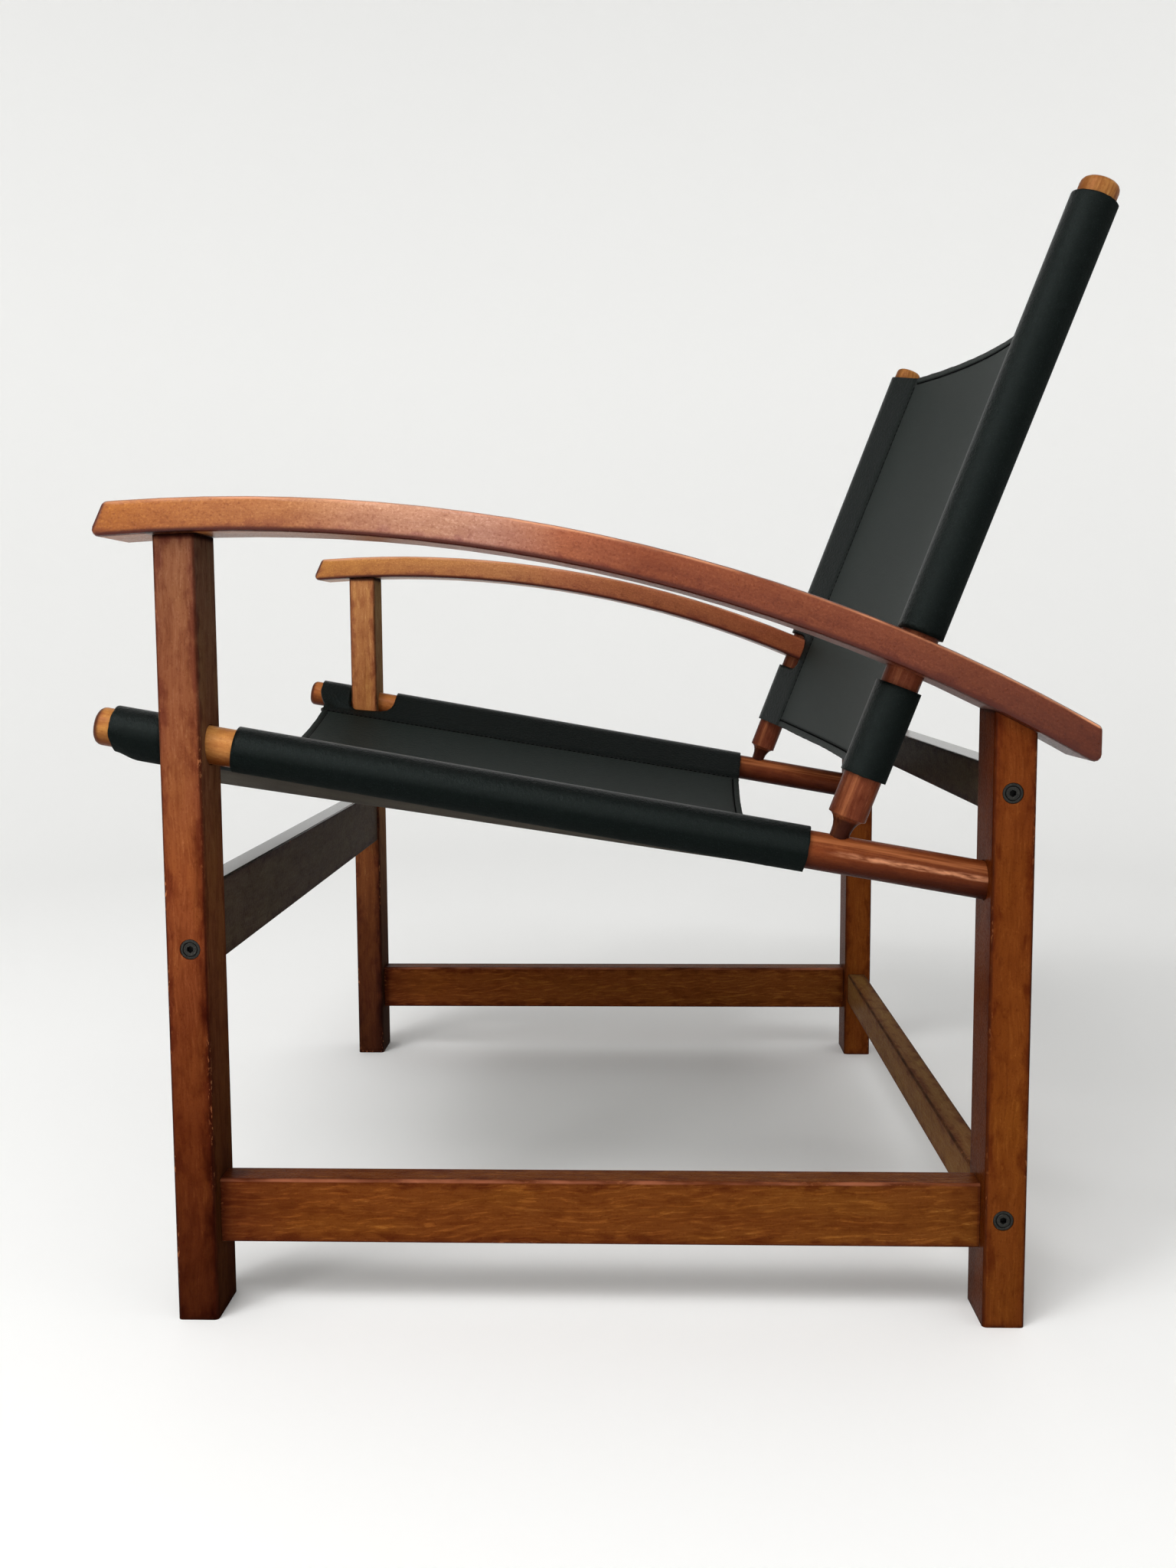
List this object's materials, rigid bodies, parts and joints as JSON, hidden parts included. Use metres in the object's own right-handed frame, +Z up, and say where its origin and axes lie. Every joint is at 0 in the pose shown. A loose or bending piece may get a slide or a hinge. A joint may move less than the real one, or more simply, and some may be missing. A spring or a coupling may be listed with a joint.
{
  "type": "leather sling lounge chair",
  "caption": "Low lounge chair: bolted hardwood frame with bent armrests, and leather seat and back slings sewn into sleeves on round wooden rods.",
  "frame": {"origin": "on the floor, under the middle of the chair's overall width and depth", "axes": "+Z up; the chair faces -Y; +X is the sitter's left"},
  "size_m": [0.687, 0.6726, 0.7274],
  "materials": {
    "wood": "red-brown stained hardwood, satin lacquer",
    "dark_wood": "dark brown stained hardwood, satin lacquer",
    "leather": "black full-grain saddle leather, satin",
    "steel": "blackened steel",
    "dowel_wood": "bare beech dowel"
  },
  "bodies": {
    "frame": {"front_leg_left": "wood", "front_leg_right": "wood", "rear_leg_left": "wood", "rear_leg_right": "wood", "armrest_left": "wood", "armrest_right": "wood", "side_stretcher_left": "wood", "side_stretcher_right": "wood", "seat_rod_left": "wood", "seat_rod_right": "wood", "front_rail": "dark_wood", "rear_upper_rail": "dark_wood", "rear_lower_stretcher": "dark_wood", "seat_sling": "leather", "back_sling": "leather", "front_bolt_left": "steel", "front_bolt_right": "steel", "rear_upper_bolt_left": "steel", "rear_upper_bolt_right": "steel", "rear_lower_bolt_left": "steel", "rear_lower_bolt_right": "steel", "front_barrel_nut_left": "steel", "front_barrel_nut_right": "steel", "rear_upper_barrel_nut_left": "steel", "rear_upper_barrel_nut_right": "steel", "rear_lower_barrel_nut_left": "steel", "rear_lower_barrel_nut_right": "steel", "front_rail_dowel_left": "dowel_wood", "front_rail_dowel_right": "dowel_wood", "rear_upper_rail_dowel_left": "dowel_wood", "rear_upper_rail_dowel_right": "dowel_wood", "rear_lower_rail_dowel_left": "dowel_wood", "rear_lower_rail_dowel_right": "dowel_wood", "stretcher_front_lower_dowel_left": "dowel_wood", "stretcher_front_lower_dowel_right": "dowel_wood", "stretcher_front_upper_dowel_left": "dowel_wood", "stretcher_front_upper_dowel_right": "dowel_wood", "stretcher_rear_lower_dowel_left": "dowel_wood", "stretcher_rear_lower_dowel_right": "dowel_wood", "stretcher_rear_upper_dowel_left": "dowel_wood", "stretcher_rear_upper_dowel_right": "dowel_wood", "armrest_front_dowel_left": "dowel_wood", "armrest_front_dowel_right": "dowel_wood", "armrest_rear_dowel_left": "dowel_wood", "armrest_rear_dowel_right": "dowel_wood"},
    "back_rod_left": {"back_rod_left": "wood"},
    "back_rod_right": {"back_rod_right": "wood"}
  },
  "joints": [
    {"name": "back_rod_left_lift", "type": "slide", "parent": "frame", "child": "back_rod_left", "axis": [0, 0.36, 0.933], "range_m": [0, 0.156]},
    {"name": "back_rod_right_lift", "type": "slide", "parent": "frame", "child": "back_rod_right", "axis": [0, 0.36, 0.933], "range_m": [0, 0.156]}
  ]
}
